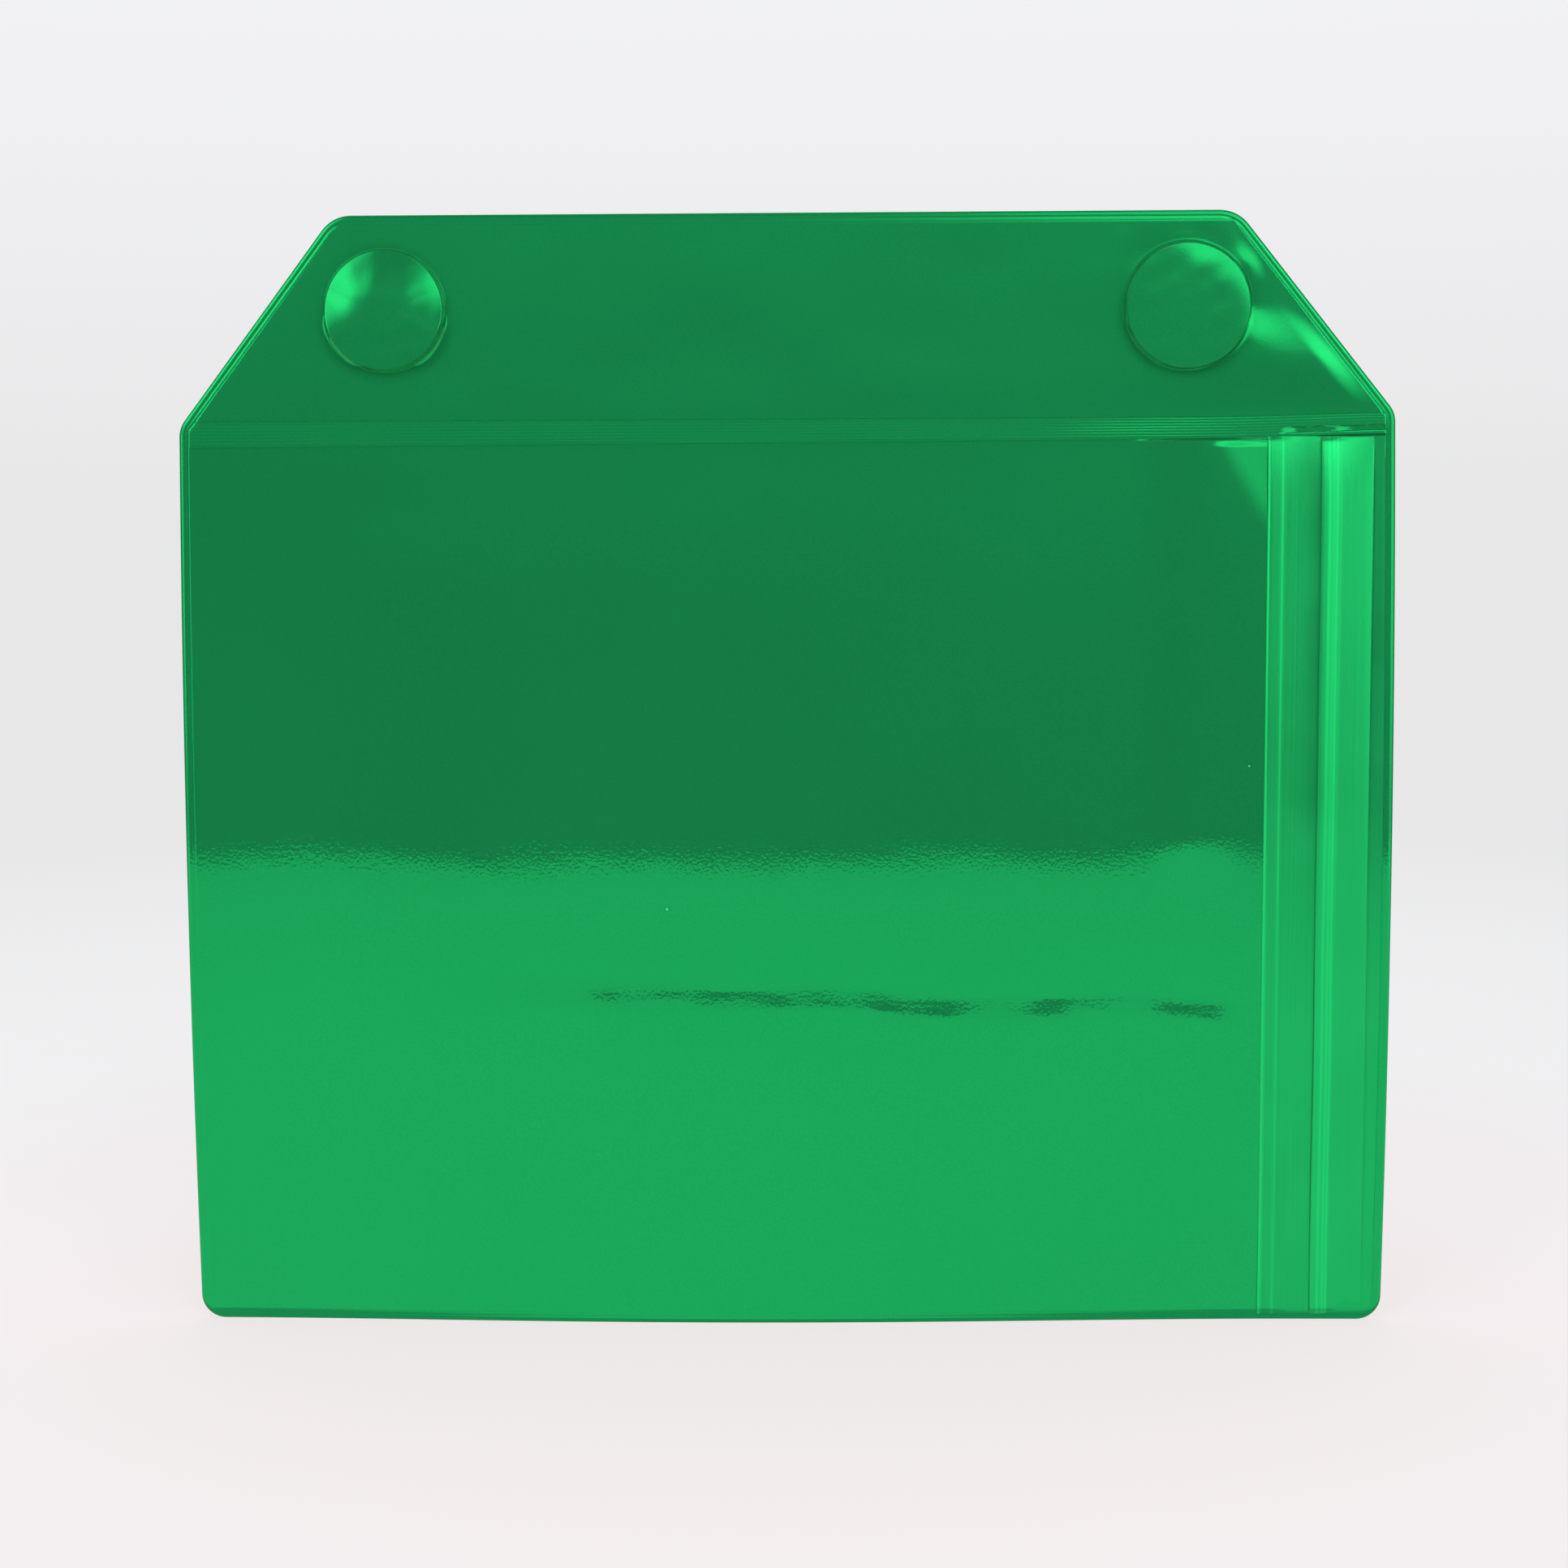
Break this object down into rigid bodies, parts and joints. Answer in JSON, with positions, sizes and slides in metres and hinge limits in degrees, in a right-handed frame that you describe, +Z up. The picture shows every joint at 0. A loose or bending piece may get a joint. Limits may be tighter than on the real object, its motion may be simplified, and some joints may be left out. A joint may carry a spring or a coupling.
{
  "type": "magnetic document pocket",
  "caption": "Flat film document pocket with sloping shoulders, hung by disc magnets sealed in its header and closed along one side by a press-to-close strip.",
  "frame": {"origin": "on the back face of the header, midway between the magnets", "axes": "+X to the right across the front, +Y out of the back towards the board that it hangs on, +Z up"},
  "size_m": [0.23, 0.0036, 0.212],
  "materials": {
    "film": "plasticised PVC film, press-polished, green",
    "tape": "extruded soft PVC closing strip, green",
    "magnet": "nickel-plated sintered magnet"
  },
  "bodies": {
    "header": {"header_back": "film", "header_cover": "film", "magnet_left": "magnet", "magnet_right": "magnet"},
    "pocket": {"pocket_back": "film", "front_film": "film", "header_weld": "film", "bottom_weld": "film", "side_weld": "film", "mouth_weld": "film", "zip_rib_tape": "tape", "zip_tape_margin": "tape"},
    "mouth": {"zip_groove_tape": "tape"}
  },
  "joints": [
    {"name": "pocket_fold", "type": "hinge", "parent": "header", "child": "pocket", "pos_m": [0, -0.00125, -0.0207], "axis": [-1, 0, 0], "range_deg": [0, 90]},
    {"name": "mouth_open", "type": "hinge", "parent": "pocket", "child": "mouth", "pos_m": [0.09355, -0.00195, -0.109], "axis": [0, 0, -1], "range_deg": [0, 45], "stiffness_Nm_per_rad": 0.002}
  ]
}
